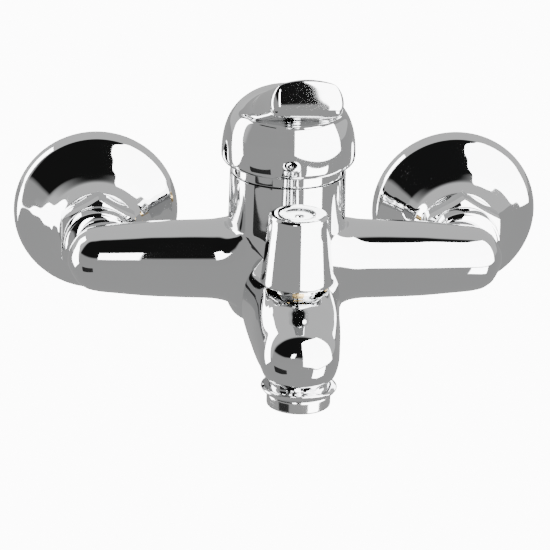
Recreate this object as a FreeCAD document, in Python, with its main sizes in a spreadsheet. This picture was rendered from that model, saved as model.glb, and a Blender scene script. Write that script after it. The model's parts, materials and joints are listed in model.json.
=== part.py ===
import FreeCAD, Part
import math
import os
import re

import Sketcher

# Wall mounted single-lever bath mixer.  Millimetres.
# Frame: origin on the wall midway between the two wall threads, +X to the right as the
# user sees it, +Y into the wall, +Z up.  "out" below is the distance from the wall (-Y).

DIMENSIONS = {
    # supply side
    "inlet_half": 75.0, "axis_up": 5.0, "reach": 60.0,
    "wall_thread_r": 10.48, "wall_thread_len": 18.0, "crank_r": 12.0, "crank_len": 13.0,
    "union_thread_r": 13.2, "union_len": 31.0, "union_bore_r": 6.5,
    "flange_r": 34.2, "flange_lip": 0.8, "flange_edge_r": 32.3, "flange_edge": 5.9,
    "flange_mouth_r": 15.4, "flange_depth": 25.4, "flange_wall": 1.2, "flange_hole_r": 13.6,
    "nut_flats": 30.0, "nut_start": 25.8, "nut_end": 38.6, "nut_cavity_r": 13.25,
    "nut_shoulder": 35.6, "nut_hole_r": 10.0, "nut_bevel": 1.2,
    "washer_r": 11.9, "washer_hole_r": 7.5, "washer_start": 31.05, "washer_end": 32.95,
    "tail_flange_r": 12.8, "tail_start": 33.0, "tail_neck": 35.5, "tail_neck_r": 9.6,
    "tail_end": 46.0, "tail_bore_r": 7.0, "tail_seat_r": 9.65,
    # cast body
    "barrel_r": 23.4, "barrel_top": 37.5, "barrel_low": -24.0, "barrel_edge": 6.0,
    "spigot_r": 21.5, "spigot_top": 41.0,
    "arm_root_r": 16.0, "arm_mid_r": 15.3, "arm_mid": 55.0, "arm_end_r": 13.4,
    "arm_root": 20.0, "elbow_r": 13.45, "elbow_drop_r": 13.3,
    "collar_r": 14.5, "collar_start": 38.9, "collar_end": 46.0,
    "spout_root_r": 20.0, "spout_r": 17.4, "spout_z": -7.2, "neck_r": 15.4,
    "neck_len": 18.7, "neck_fall": 12.9,
    "nose_out": 138.0, "nose_r": 16.1, "nose_z": -12.0, "nose_low": -26.0,
    "nose_ball_r": 16.2, "nose_lap": 1.3, "nose_mouth_r": 13.1, "nose_taper": 4.0,
    "knob_out": 117.0, "pad_r": 15.0, "pad_low": -3.0, "pad_top": 10.3,
    "outlet_boss_r": 13.0, "outlet_boss_low": -27.0,
    # waterways
    "inlet_way_r": 7.0, "inlet_way_stop": 8.0, "elbow_way_r": 6.4, "elbow_way_deep": 5.2, "port_r": 3.6, "port_side": 9.0,
    "port_back": 57.0, "port_front": 69.5, "mixed_z": -7.9, "mixed_r": 3.8,
    "shower_z": -17.0, "shower_r": 3.2, "chamber_r": 8.5, "lower_seat_z": -12.5,
    "lower_seat_r": 5.5, "chamber_low": -20.5, "nose_way_r": 3.4, "nose_way_z": 1.2,
    "nose_way_len": 27.0, "nose_way_tilt": 49.0,
    "aerator_socket_r": 11.9, "aerator_socket_top": -18.5,
    "outlet_socket_r": 8.05, "outlet_socket_top": -14.6,
    # cartridge
    "cavity_r": 17.6, "cavity_floor": 8.0, "nut_thread_r": 19.5, "nut_thread_z": 25.5,
    "seal_r": 5.05, "seal_top": 9.2, "base_r": 17.3, "base_low": 8.1, "base_top": 12.5,
    "disc_r": 13.5, "disc_low": 12.55, "disc_top": 15.5, "disc_port_r": 3.2,
    "moving_r": 11.5, "moving_low": 15.55, "moving_top": 18.5, "mix_pocket_r": 7.0,
    "mix_pocket": 1.4, "carrier_top": 23.1, "carrier_pocket": 20.3, "carrier_pocket_r": 3.65,
    "disc_rest": 58.5, "housing_r": 17.4, "housing_neck_r": 14.6, "housing_step": 26.0,
    "housing_top": 36.0, "housing_cavity_r": 15.2, "housing_roof": 25.7,
    "core_flange_r": 15.1, "core_low": 23.4, "core_step": 25.6, "core_r": 11.5,
    "core_top": 37.0, "neck_fit": 0.05, "slot_wide": 8.4, "slot_long": 16.0,
    "pivot_z": 31.0, "pin_r": 1.5, "pin_half": 10.8, "pin_fit": 0.05,
    "ball_r": 3.0, "ball_z": 24.0, "rod_r": 2.6, "bar_low": 27.0, "bar_top": 62.0,
    "bar_side": 7.8, "cart_nut_r": 19.4, "cart_nut_low": 26.05, "cart_nut_rim": 34.5,
    "cart_nut_top": 38.0, "cart_nut_flats": 32.0, "cart_nut_hole_r": 14.7,
    # bonnet ring
    "ring_r": 23.0, "ring_low": 37.55, "ring_seat": 41.1, "ring_top": 43.0,
    "ring_fit_r": 21.55, "ring_lip_r": 20.0, "ring_bevel": 0.5,
    # handle
    "dome_r": 27.0, "dome_low": 42.4, "dome_rise": 31.0, "dome_wall": 2.4,
    "dome_power": 3.0, "dome_tuck": 1.3, "dome_tuck_rise": 2.0,
    "lever_tilt": 20.0, "lever_tip": 84.4, "lever_top": 71.0,
    "boss_r": 7.5, "boss_low": 46.0, "socket_fit": 0.05, "socket_top": 62.4,
    "screw_r": 2.0, "screw_z": 53.6, "screw_swing": 8.9, "screw_start": 4.3,
    "screw_end": 10.5, "access_r": 1.0, "plug_r": 0.95, "plug_len": 1.6, "plug_sink": 0.5,
    # diverter
    "knob_base_r": 14.4, "knob_low": 11.2, "knob_top_r": 11.5, "knob_top": 39.25,
    "knob_round": 1.4, "dish_r": 6.6, "dish_deep": 0.9, "knob_cavity_r": 11.6,
    "knob_cavity_top": 17.0, "stem_r": 3.0, "stem_low": -12.2, "stem_top": 29.0,
    "stem_fit": 0.05, "bush_low": 4.5, "bush_top": 10.25, "bush_r": 8.45,
    "oring_low": 6.4, "oring_top": 8.4, "oring_r": 4.6,
    "piston_r": 7.4, "piston_low": -11.1, "piston_top": -10.1, "pad_ring_low": -12.2,
    "pad_ring_top": -9.0, "seat_low": -3.2, "seat_top": -1.7, "seat_hole_r": 5.6,
    "spring_r": 4.3, "spring_wire": 0.35, "spring_low": -8.3, "spring_high": 3.8,
    "spring_turns": 6.0,
    # outlets
    "aer_r": 12.5, "aer_low": -31.7, "aer_shoulder": -26.3, "aer_thread_r": 11.8,
    "aer_top": -20.6, "aer_hole_r": 10.0, "aer_lip_r": 9.0, "aer_lip": -30.7,
    "insert_r": 9.9, "insert_low": -30.6, "insert_top": -20.8, "insert_core_r": 2.0,
    "jet_r": 1.1, "jet_circle": 6.2, "aer_seal_top": -18.7,
    "nip_thread_r": 10.48, "nip_low": -43.0, "nip_hex_low": -32.0, "nip_hex_top": -27.1,
    "nip_flats": 24.0, "nip_screw_r": 8.0, "nip_top": -15.6, "nip_bore_r": 5.6,
    "check_bore_r": 6.9, "check_top": -32.1, "check_wall": 1.2, "check_low": -41.0,
}

DOC = FreeCAD.newDocument("bath_mixer")
SHEET = DOC.addObject("Spreadsheet::Sheet", "Dims")
for line, (alias, amount) in enumerate(DIMENSIONS.items(), start=1):
    SHEET.set(f"A{line}", alias)
    SHEET.set(f"B{line}", str(amount))
    SHEET.setAlias(f"B{line}", alias)
DOC.recompute()

UPRIGHT = FreeCAD.Rotation()
OUTWARD = FreeCAD.Rotation(FreeCAD.Vector(1, 0, 0), 90)
HEX_SIDES = 6
PIECES = []


def on_sheet(text):
    """Expression text with every sheet alias written out in full."""
    return re.sub(r"\b([a-z]\w*)\b(?!\()", lambda found: (
        "Dims." + found.group(1) if found.group(1) in DIMENSIONS else found.group(1)), text)


def size(text):
    """Number that an expression over the sheet's aliases has now."""
    return float(SHEET.evalExpression(on_sheet(text)))


def bind(item, prop, text):
    """Drive one property of an object from the sheet."""
    item.setExpression(prop, on_sheet(text))


def seat(body, across="0", out="0", up="0", turn=UPRIGHT):
    """Place a body: across along X, out from the wall, up from the arms' axis."""
    body.Placement = FreeCAD.Placement(FreeCAD.Vector(), turn)
    bind(body, "Placement.Base.x", across)
    bind(body, "Placement.Base.y", f"-({out})")
    bind(body, "Placement.Base.z", f"axis_up + ({up})")
    PIECES.append(body)
    return body


def attach(item, body, plane, offset=("0", "0", "0")):
    """Lay a sketch or primitive on one origin plane of its own body."""
    support = next(f for f in body.Origin.OriginFeatures if f.Role == plane)
    item.AttachmentSupport = [(support, "")]
    item.MapMode = "FlatFace"
    for axis, text in zip("xyz", offset):
        bind(item, f"AttachmentOffset.Base.{axis}", text)


def polygon(body, name, corners, plane="XZ_Plane", offset=("0", "0", "0")):
    """Closed sketch of straight lines whose corners are sheet expressions."""
    sketch = body.newObject("Sketcher::SketchObject", name)
    attach(sketch, body, plane, offset)
    spots = [FreeCAD.Vector(size(u), size(v), 0) for u, v in corners]
    total = len(corners)
    for index in range(total):
        sketch.addGeometry(Part.LineSegment(spots[index], spots[(index + 1) % total]), False)
    for index in range(total):
        sketch.addConstraint(Sketcher.Constraint("Coincident", index, 2, (index + 1) % total, 1))
    for index, pair in enumerate(corners):
        for kind, text, axis in zip(("DistanceX", "DistanceY"), pair, (-2, -1)):
            if text == "0":
                sketch.addConstraint(Sketcher.Constraint("PointOnObject", index, 1, axis))
            else:
                row = sketch.addConstraint(Sketcher.Constraint(kind, -1, 1, index, 1, size(text)))
                bind(sketch, f"Constraints[{row}]", text)
    sketch.Visibility = False
    return sketch


def circles(body, name, rings, plane="XY_Plane", offset=("0", "0", "0")):
    """Sketch of circles, each given as centre across, centre up and radius."""
    sketch = body.newObject("Sketcher::SketchObject", name)
    attach(sketch, body, plane, offset)
    for across, up, radius in rings:
        centre = FreeCAD.Vector(size(across), size(up), 0)
        index = sketch.addGeometry(Part.Circle(centre, FreeCAD.Vector(0, 0, 1), size(radius)), False)
        for kind, text, axis in (("DistanceX", across, -2), ("DistanceY", up, -1)):
            if text == "0":
                sketch.addConstraint(Sketcher.Constraint("PointOnObject", index, 3, axis))
            else:
                row = sketch.addConstraint(Sketcher.Constraint(kind, -1, 1, index, 3, size(text)))
                bind(sketch, f"Constraints[{row}]", text)
        row = sketch.addConstraint(Sketcher.Constraint("Radius", index, size(radius)))
        bind(sketch, f"Constraints[{row}]", radius)
    sketch.Visibility = False
    return sketch


def hexagon(body, name, flats, offset):
    """Regular hexagon sketch, flats facing local X, measured across the flats."""
    corners = []
    for side in range(HEX_SIDES):
        angle = 360 / HEX_SIDES * side + 30
        corners.append((f"{flats} / 2 / cos(30) * cos({angle})",
                        f"{flats} / 2 / cos(30) * sin({angle})"))
    corners = [("0" if abs(size(u)) < 1e-6 else u, v) for u, v in corners]
    return polygon(body, name, corners, "XY_Plane", offset)


def revolve(body, name, sketch, kind="PartDesign::Revolution", axis="V_Axis"):
    """Turn a sketch through a full circle about one of its own axes."""
    turned = body.newObject(kind, name)
    turned.Profile = sketch
    turned.ReferenceAxis = (sketch, [axis])
    turned.Angle = 360
    return turned


def pad(body, name, sketch, length):
    """Extrude a sketch along its normal."""
    block = body.newObject("PartDesign::Pad", name)
    block.Profile = sketch
    bind(block, "Length", length)
    return block


def bore(body, name, plane, offset, radius, depth):
    """Straight round hole starting at an offset on one origin plane."""
    hole = body.newObject("PartDesign::SubtractiveCylinder", name)
    attach(hole, body, plane, offset)
    bind(hole, "Radius", radius)
    bind(hole, "Height", depth)
    return hole


def add_cylinder(body, name, plane, offset, radius, depth):
    """Straight round boss starting at an offset on one origin plane."""
    boss = body.newObject("PartDesign::AdditiveCylinder", name)
    attach(boss, body, plane, offset)
    bind(boss, "Radius", radius)
    bind(boss, "Height", depth)
    return boss


def add_cone(body, name, offset, start_r, end_r, length, fall=0.0):
    """Solid cone pointing out from the wall, its axis falling by an angle in degrees."""
    cone = body.newObject("PartDesign::AdditiveCone", name)
    attach(cone, body, "XZ_Plane", offset)
    cone.AttachmentOffset = FreeCAD.Placement(
        cone.AttachmentOffset.Base, FreeCAD.Rotation(FreeCAD.Vector(1, 0, 0), fall))
    bind(cone, "Radius1", start_r)
    bind(cone, "Radius2", end_r)
    bind(cone, "Height", length)
    return cone


def new_body(label):
    """Empty body whose label names its file."""
    body = DOC.addObject("PartDesign::Body", label)
    body.Label = label
    return body


def turned_part(label, corners, **place):
    """One body turned on a lathe from a single profile of radius and height."""
    body = new_body(label)
    revolve(body, label + "_turn", polygon(body, label + "_profile", corners))
    return seat(body, **place)


def soften(body, name, base, radius, chosen):
    """Round the edges of a feature that a test picks by their shape."""
    DOC.recompute()
    names = [f"Edge{index}" for index, edge in enumerate(base.Shape.Edges, start=1) if chosen(edge)]
    fillet = body.newObject("PartDesign::Fillet", name)
    fillet.Base = (base, names)
    bind(fillet, "Radius", radius)
    return fillet


def is_ring(radius, height, axis="z"):
    """Test for a full circular edge of one radius at one height."""
    def test(edge):
        curve = edge.Curve
        if not isinstance(curve, Part.Circle):
            return False
        along = getattr(curve.Center, axis)
        return abs(curve.Radius - size(radius)) < 0.01 and abs(along - size(height)) < 0.01
    return test


def build_supply(side, sign):
    """Everything between the wall and one arm of the body."""
    place = {"across": f"{sign} * inlet_half", "turn": OUTWARD}

    union = new_body(f"s_union_{side}")
    wall_end = circles(union, f"wall_thread_{side}", [("0", "-axis_up", "wall_thread_r")],
                       offset=("0", "0", "-wall_thread_len"))
    pad(union, f"wall_spigot_{side}", wall_end, "wall_thread_len")
    crank = union.newObject("PartDesign::AdditiveLoft", f"crank_{side}")
    crank.Profile = circles(union, f"crank_start_{side}", [("0", "-axis_up", "crank_r")])
    crank.Sections = [circles(union, f"crank_finish_{side}", [("0", "0", "union_thread_r")],
                              offset=("0", "0", "crank_len"))]
    add_cylinder(union, f"union_thread_{side}", "XY_Plane", ("0", "0", "crank_len"),
                 "union_thread_r", "union_len - crank_len")
    bore(union, f"union_bore_{side}", "XY_Plane", ("0", "-axis_up / 2", "-wall_thread_len - 1"),
         "union_bore_r", "wall_thread_len + union_len + 2")
    seat(union, **place)

    turned_part(f"wall_flange_{side}", [
        ("flange_r", "0"), ("flange_r", "flange_lip"), ("flange_edge_r", "flange_edge"),
        ("flange_mouth_r", "flange_depth"), ("flange_hole_r", "flange_depth"),
        ("flange_hole_r", "flange_depth - flange_wall"),
        ("flange_mouth_r - flange_wall", "flange_depth - flange_wall"),
        ("flange_edge_r - flange_wall", "flange_edge"), ("flange_r - flange_wall", "0")], **place)

    nut = new_body(f"union_nut_{side}")
    pad(nut, f"nut_hex_{side}", hexagon(nut, f"nut_outline_{side}", "nut_flats",
                                        ("0", "0", "nut_start")), "nut_end - nut_start")
    bore(nut, f"nut_hole_{side}", "XY_Plane", ("0", "0", "nut_start - 1"), "nut_hole_r",
         "nut_end - nut_start + 2")
    bore(nut, f"nut_cavity_{side}", "XY_Plane", ("0", "0", "nut_start - 1"), "nut_cavity_r",
         "nut_shoulder - nut_start + 1")
    for end, start, inward in (("front", "nut_end", "-"), ("back", "nut_start", "+")):
        bevel = polygon(nut, f"nut_bevel_{end}_{side}", [
            ("nut_flats / 2", start), ("nut_flats / 2 + 3", start),
            ("nut_flats / 2 + 3", f"{start} {inward} nut_bevel * 1.6")])
        revolve(nut, f"nut_corners_{end}_{side}", bevel, "PartDesign::Groove")
    seat(nut, **place)

    turned_part(f"union_washer_{side}", [
        ("washer_hole_r", "washer_start"), ("washer_r", "washer_start"),
        ("washer_r", "washer_end"), ("washer_hole_r", "washer_end")], **place)

    turned_part(f"inlet_tail_{side}", [
        ("tail_bore_r", "tail_start"), ("tail_flange_r", "tail_start"),
        ("tail_flange_r", "tail_neck"), ("tail_neck_r", "tail_neck"),
        ("tail_neck_r", "tail_end"), ("tail_bore_r", "tail_end")], **place)


def build_body():
    """Cast body: barrel, two arms with elbows, spout, nose and every waterway."""
    body = new_body("mixer_body")
    over_axis = ("0", "0", "reach")
    barrel = polygon(body, "barrel_profile", [
        ("0", "barrel_low"), ("barrel_r - barrel_edge", "barrel_low"),
        ("barrel_r", "barrel_low + barrel_edge"), ("barrel_r", "barrel_top"),
        ("spigot_r", "barrel_top"), ("spigot_r", "spigot_top"), ("0", "spigot_top")],
        offset=over_axis)
    revolve(body, "barrel", barrel)
    half = [("arm_root", "arm_root_r"), ("arm_mid", "arm_mid_r"), ("inlet_half", "arm_end_r"),
            ("inlet_half", "0")]
    other = [(f"-({across})", up) for across, up in reversed(half)]
    revolve(body, "arms", polygon(body, "arm_profile", other + half, offset=over_axis),
            axis="H_Axis")
    for name, sign in (("left", "-"), ("right", "")):
        elbow = body.newObject("PartDesign::AdditiveSphere", f"elbow_{name}")
        attach(elbow, body, "XY_Plane", (f"{sign}inlet_half", "-reach", "0"))
        bind(elbow, "Radius", "elbow_r")

    add_cone(body, "spout", ("0", "spout_z", "reach"), "spout_root_r", "spout_r",
             "knob_out - reach")
    shoulder = body.newObject("PartDesign::AdditiveSphere", "spout_shoulder")
    attach(shoulder, body, "XY_Plane", ("0", "-knob_out", "spout_z"))
    bind(shoulder, "Radius", "spout_r + 0.1")
    ball = body.newObject("PartDesign::AdditiveSphere", "nose_ball")
    attach(ball, body, "XY_Plane", ("0", "-nose_out", "nose_z"))
    bind(ball, "Radius", "nose_ball_r")
    add_cone(body, "neck", ("0", "spout_z", "knob_out"), "spout_r - 0.2", "neck_r",
             "neck_len", size("neck_fall"))
    add_cylinder(body, "nose", "XY_Plane", ("0", "-nose_out", "nose_low + nose_taper"),
                 "nose_r", "nose_z - nose_low - nose_taper + nose_lap")
    rim = body.newObject("PartDesign::AdditiveCone", "nose_rim")
    attach(rim, body, "XY_Plane", ("0", "-nose_out", "nose_low"))
    bind(rim, "Radius1", "nose_mouth_r")
    bind(rim, "Radius2", "nose_r")
    bind(rim, "Height", "nose_taper")

    add_cylinder(body, "knob_pad", "XY_Plane", ("0", "-knob_out", "pad_low"), "pad_r",
                 "pad_top - pad_low")
    add_cylinder(body, "outlet_boss", "XY_Plane", ("0", "-reach", "outlet_boss_low"),
                 "outlet_boss_r", "barrel_low - outlet_boss_low + 4")
    for name, sign in (("left", "-"), ("right", "")):
        across = f"{sign}inlet_half"
        add_cylinder(body, f"elbow_drop_{name}", "XZ_Plane", (across, "0", "collar_start + 1"),
                     "elbow_drop_r", "reach - collar_start - 1")
        add_cylinder(body, f"collar_{name}", "XZ_Plane", (across, "0", "collar_start"),
                     "collar_r", "collar_end - collar_start")

    bore(body, "cartridge_cavity", "XY_Plane", ("0", "-reach", "cavity_floor"), "cavity_r",
         "spigot_top - cavity_floor + 1")
    bore(body, "cartridge_thread", "XY_Plane", ("0", "-reach", "nut_thread_z"), "nut_thread_r",
         "spigot_top - nut_thread_z + 1")
    for name, sign in (("left", "-"), ("right", "")):
        across = f"{sign}inlet_half"
        bore(body, f"tail_socket_{name}", "XZ_Plane", (across, "0", "collar_start - 1"),
             "tail_seat_r", "tail_end - collar_start + 1.1")
        bore(body, f"elbow_way_{name}", "XZ_Plane", (across, "0", "tail_end"), "elbow_way_r",
             "reach - tail_end + elbow_way_deep")
        bore(body, f"inlet_port_{name}", "XY_Plane", (f"{sign}port_side", "-port_back", "0"),
             "port_r", "cavity_floor + 1")
    bore(body, "arm_way_right", "YZ_Plane", ("-reach", "0", "inlet_way_stop"), "inlet_way_r",
         "inlet_half - inlet_way_stop + 3.5")
    bore(body, "arm_way_left", "YZ_Plane", ("-reach", "0", "-inlet_half - 3.5"), "inlet_way_r",
         "inlet_half - inlet_way_stop + 3.5")
    bore(body, "outlet_port", "XY_Plane", ("0", "-port_front", "mixed_z"), "port_r",
         "cavity_floor - mixed_z + 1")
    bore(body, "mixed_way", "XZ_Plane", ("0", "mixed_z", "port_front - port_r"), "mixed_r",
         "knob_out - port_front + port_r")
    bore(body, "diverter_chamber", "XY_Plane", ("0", "-knob_out", "lower_seat_z"), "chamber_r",
         "pad_top - lower_seat_z + 1")
    bore(body, "lower_seat", "XY_Plane", ("0", "-knob_out", "chamber_low"), "lower_seat_r",
         "lower_seat_z - chamber_low + 1")
    bore(body, "shower_way", "XZ_Plane", ("0", "shower_z", "reach"), "shower_r",
         "knob_out - reach")
    bore(body, "outlet_socket", "XY_Plane", ("0", "-reach", "outlet_boss_low - 1"),
         "outlet_socket_r", "outlet_socket_top - outlet_boss_low + 1")
    bore(body, "aerator_socket", "XY_Plane", ("0", "-nose_out", "nose_low - 3"),
         "aerator_socket_r", "aerator_socket_top - nose_low + 3")
    nose_way = bore(body, "nose_way", "XY_Plane", ("0", "-knob_out", "nose_way_z"),
                    "nose_way_r", "nose_way_len")
    nose_way.AttachmentOffset = FreeCAD.Placement(
        nose_way.AttachmentOffset.Base,
        FreeCAD.Rotation(FreeCAD.Vector(1, 0, 0), 90 + size("nose_way_tilt")))
    for step in body.Group:
        if hasattr(step, "Refine"):
            step.Refine = False
    seat(body)


def build_cartridge():
    """35 mm ceramic cartridge, its seals, lever and retaining nut."""
    over = {"out": "reach"}
    seals = DOC.addObject("Part::Compound", "cartridge_seals")
    seals.Label = "cartridge_seals"
    ports = [("-port_side", "port_back"), ("port_side", "port_back"), ("0", "port_front")]
    rings = []
    for index, (across, out) in enumerate(ports):
        outer = DOC.addObject("Part::Cylinder", f"seal_outer_{index}")
        inner = DOC.addObject("Part::Cylinder", f"seal_inner_{index}")
        for ring, radius in ((outer, "seal_r"), (inner, "port_r")):
            bind(ring, "Radius", radius)
            bind(ring, "Height", "seal_top - cavity_floor - 0.05")
            bind(ring, "Placement.Base.x", across)
            bind(ring, "Placement.Base.y", f"-{out}")
        cut = DOC.addObject("Part::Cut", f"seal_{index}")
        cut.Base = outer
        cut.Tool = inner
        rings.append(cut)
    seals.Links = rings
    bind(seals, "Placement.Base.z", "axis_up + cavity_floor + 0.02")
    PIECES.append(seals)

    base = new_body("cartridge_base")
    add_cylinder(base, "base_disc", "XY_Plane", ("0", "-reach", "base_low"), "base_r",
                 "base_top - base_low")
    for index, (across, out) in enumerate(ports):
        bore(base, f"base_port_{index}", "XY_Plane", (across, f"-{out}", "base_low - 1"),
             "port_r", "base_top - base_low + 2")
        bore(base, f"base_seal_seat_{index}", "XY_Plane", (across, f"-{out}", "base_low - 1"),
             "seal_r + 0.05", "seal_top - base_low + 1.05")
    seat(base)

    fixed = new_body("fixed_ceramic_disc")
    add_cylinder(fixed, "fixed_disc", "XY_Plane", ("0", "-reach", "disc_low"), "disc_r",
                 "disc_top - disc_low")
    for index, (across, out) in enumerate(ports):
        bore(fixed, f"disc_port_{index}", "XY_Plane", (across, f"-{out}", "disc_low - 1"),
             "disc_port_r", "disc_top - disc_low + 2")
    seat(fixed)

    turned_part("moving_ceramic_disc", [
        ("0", "moving_low + mix_pocket"), ("mix_pocket_r", "moving_low + mix_pocket"),
        ("mix_pocket_r", "moving_low"), ("moving_r", "moving_low"), ("moving_r", "moving_top"),
        ("0", "moving_top")], out="disc_rest")

    carrier = new_body("disc_carrier")
    add_cylinder(carrier, "carrier_block", "XY_Plane", ("0", "0", "moving_top"), "moving_r",
                 "carrier_top - moving_top")
    bore(carrier, "carrier_ball_pocket", "XY_Plane", ("0", "-(reach - disc_rest)",
         "carrier_pocket"), "carrier_pocket_r", "carrier_top - carrier_pocket + 1")
    seat(carrier, out="disc_rest")

    turned_part("cartridge_housing", [
        ("housing_cavity_r", "disc_low"), ("housing_r", "disc_low"),
        ("housing_r", "housing_step"), ("housing_neck_r", "housing_step"),
        ("housing_neck_r", "housing_top"), ("core_r + neck_fit", "housing_top"),
        ("core_r + neck_fit", "housing_roof"), ("housing_cavity_r", "housing_roof")], **over)

    core = new_body("swivel_core")
    revolve(core, "core_turn", polygon(core, "core_profile", [
        ("0", "core_low"), ("core_flange_r", "core_low"), ("core_flange_r", "core_step"),
        ("core_r", "core_step"), ("core_r", "core_top"), ("0", "core_top")]))
    slot = core.newObject("PartDesign::SubtractiveBox", "core_slot")
    attach(slot, core, "XY_Plane", ("-slot_wide / 2", "-slot_long / 2", "core_low - 1"))
    bind(slot, "Length", "slot_wide")
    bind(slot, "Width", "slot_long")
    bind(slot, "Height", "core_top - core_low + 2")
    bore(core, "core_pin_hole", "YZ_Plane", ("0", "pivot_z", "-pin_half - 0.1"),
         "pin_r + 0.02", "2 * pin_half + 0.2")
    seat(core, **over)

    pin = new_body("spindle_pivot_pin")
    add_cylinder(pin, "pin_rod", "YZ_Plane", ("0", "pivot_z", "-pin_half"), "pin_r",
                 "2 * pin_half")
    seat(pin, **over)

    spindle = new_body("cartridge_spindle")
    bar = spindle.newObject("PartDesign::AdditiveBox", "spindle_bar")
    attach(bar, spindle, "XY_Plane", ("-bar_side / 2", "-bar_side / 2", "bar_low"))
    bind(bar, "Length", "bar_side")
    bind(bar, "Width", "bar_side")
    bind(bar, "Height", "bar_top - bar_low")
    add_cylinder(spindle, "spindle_rod", "XY_Plane", ("0", "0", "ball_z"), "rod_r",
                 "bar_low - ball_z + 1")
    ball = spindle.newObject("PartDesign::AdditiveSphere", "spindle_ball")
    attach(ball, spindle, "XY_Plane", ("0", "0", "ball_z"))
    bind(ball, "Radius", "ball_r")
    bore(spindle, "spindle_pin_hole", "YZ_Plane", ("0", "pivot_z", "-bar_side"),
         "pin_r + pin_fit", "2 * bar_side")
    seat(spindle, **over)

    nut = new_body("cartridge_nut")
    add_cylinder(nut, "cart_nut_thread", "XY_Plane", ("0", "0", "cart_nut_low"), "cart_nut_r",
                 "cart_nut_rim - cart_nut_low")
    pad(nut, "cart_nut_hex", hexagon(nut, "cart_nut_outline", "cart_nut_flats",
                                     ("0", "0", "cart_nut_rim")), "cart_nut_top - cart_nut_rim")
    bore(nut, "cart_nut_hole", "XY_Plane", ("0", "0", "cart_nut_low - 1"), "cart_nut_hole_r",
         "cart_nut_top - cart_nut_low + 2")
    seat(nut, **over)

    turned_part("bonnet_ring", [
        ("ring_fit_r", "ring_low"), ("ring_r - ring_bevel", "ring_low"),
        ("ring_r", "ring_low + ring_bevel"), ("ring_r", "ring_top - ring_bevel"),
        ("ring_r - ring_bevel", "ring_top"), ("ring_lip_r", "ring_top"),
        ("ring_lip_r", "ring_seat"), ("ring_fit_r", "ring_seat")], **over)


def dome_solid(shrink, low):
    """Dome of revolution about local Z; its radius falls off with the height's power."""
    radius = size("dome_r") - shrink
    rise = size("dome_rise") - shrink
    foot = size("dome_low")
    shares = [index / 12 for index in range(12)] + [0.965, 0.99, 1.0]
    rim = [FreeCAD.Vector(radius * math.sqrt(1 - share ** size("dome_power")), 0, foot + rise * share)
           for share in shares]
    curve = Part.BSplineCurve()
    curve.interpolate(rim)
    start = FreeCAD.Vector(rim[0].x, 0, low)
    edges = [curve.toShape(), Part.makeLine(rim[-1], FreeCAD.Vector(0, 0, low)),
             Part.makeLine(FreeCAD.Vector(0, 0, low), start)]
    if low < foot:
        edges.append(Part.makeLine(start, rim[0]))
    face = Part.Face(Part.Wire(Part.__sortEdges__(edges)))
    return face.revolve(FreeCAD.Vector(), FreeCAD.Vector(0, 0, 1), 360)


def lever_section(along, half_width, top, bottom, crown):
    """Closed arched outline square to the lever, at a distance along it."""
    left = FreeCAD.Vector(-half_width, -along, bottom + crown / 2)
    right = FreeCAD.Vector(half_width, -along, bottom + crown / 2)
    foot = FreeCAD.Vector(0, -along, bottom)
    shoulder_left = FreeCAD.Vector(-half_width, -along, top - crown)
    shoulder_right = FreeCAD.Vector(half_width, -along, top - crown)
    crest = FreeCAD.Vector(0, -along, top)
    return Part.Wire([Part.Arc(left, foot, right).toShape(),
                      Part.makeLine(right, shoulder_right),
                      Part.Arc(shoulder_right, crest, shoulder_left).toShape(),
                      Part.makeLine(shoulder_left, left)])


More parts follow.
